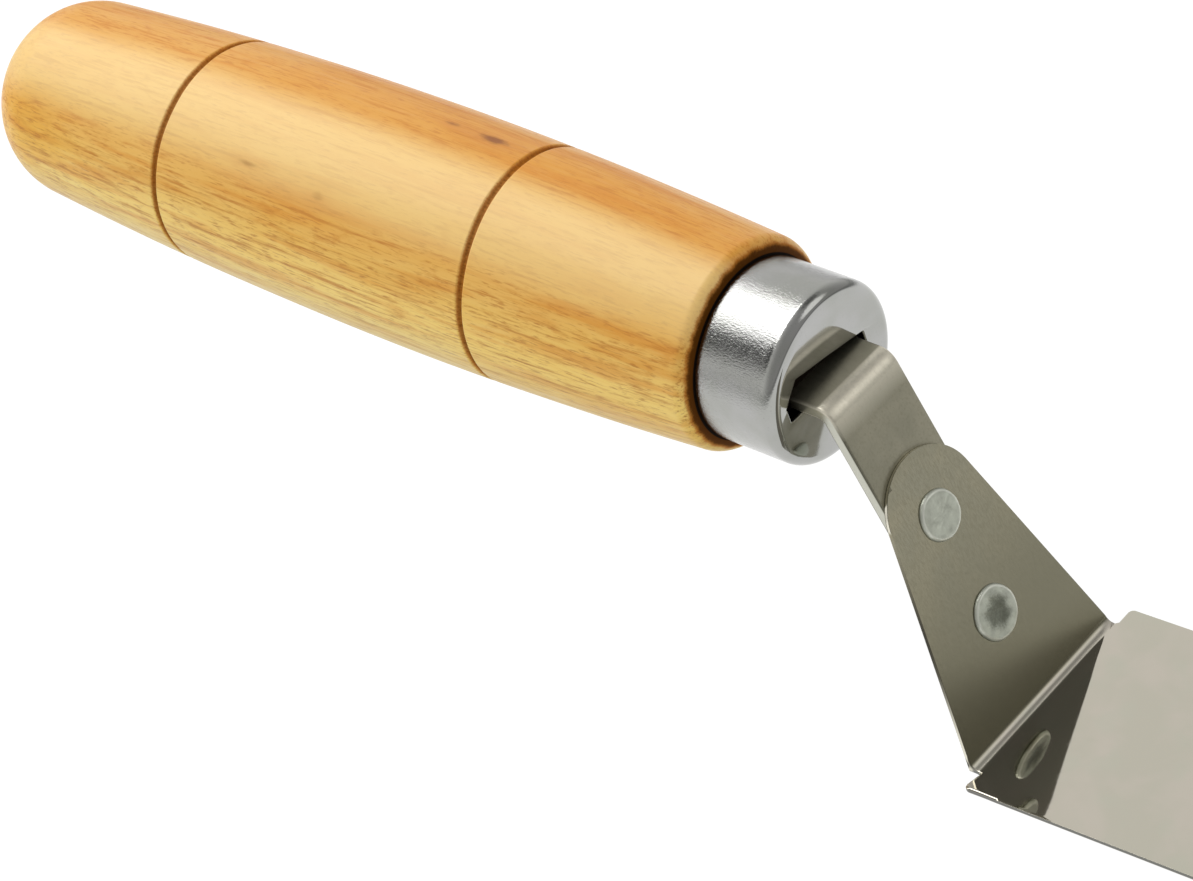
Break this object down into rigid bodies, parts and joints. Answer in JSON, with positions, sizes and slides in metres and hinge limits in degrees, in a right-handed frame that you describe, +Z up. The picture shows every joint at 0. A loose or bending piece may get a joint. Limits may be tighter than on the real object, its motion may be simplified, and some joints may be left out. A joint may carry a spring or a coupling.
{
  "type": "margin trowel",
  "caption": "Hand trowel with a narrow flat steel blade, folded tab riveted to a bent tang, bright ferrule and turned wooden handle.",
  "frame": {"origin": "centre of the blade's flat working face", "axes": "+X from the handle to the blade's tip, +Y across the blade, +Z up out of the blade's top face, towards the handle's side"},
  "size_m": [0.3031, 0.0382, 0.0727],
  "materials": {
    "blade_steel": "stainless sheet, polished to a near mirror on the blade's top face and satin on the tab",
    "tang_steel": "satin steel strip, bare",
    "plated_steel": "bright plated drawn steel, faint orange peel",
    "lacquered_wood": "pale hardwood, golden lacquer, burnt grooves and shoulder",
    "rivet_steel": "pressed rivet heads, dull and slightly uneven"
  },
  "bodies": {
    "root": {"blade": "blade_steel", "tang": "tang_steel", "ferrule": "plated_steel", "handle": "lacquered_wood", "lower_rivet": "rivet_steel", "upper_rivet": "rivet_steel"}
  },
  "joints": []
}
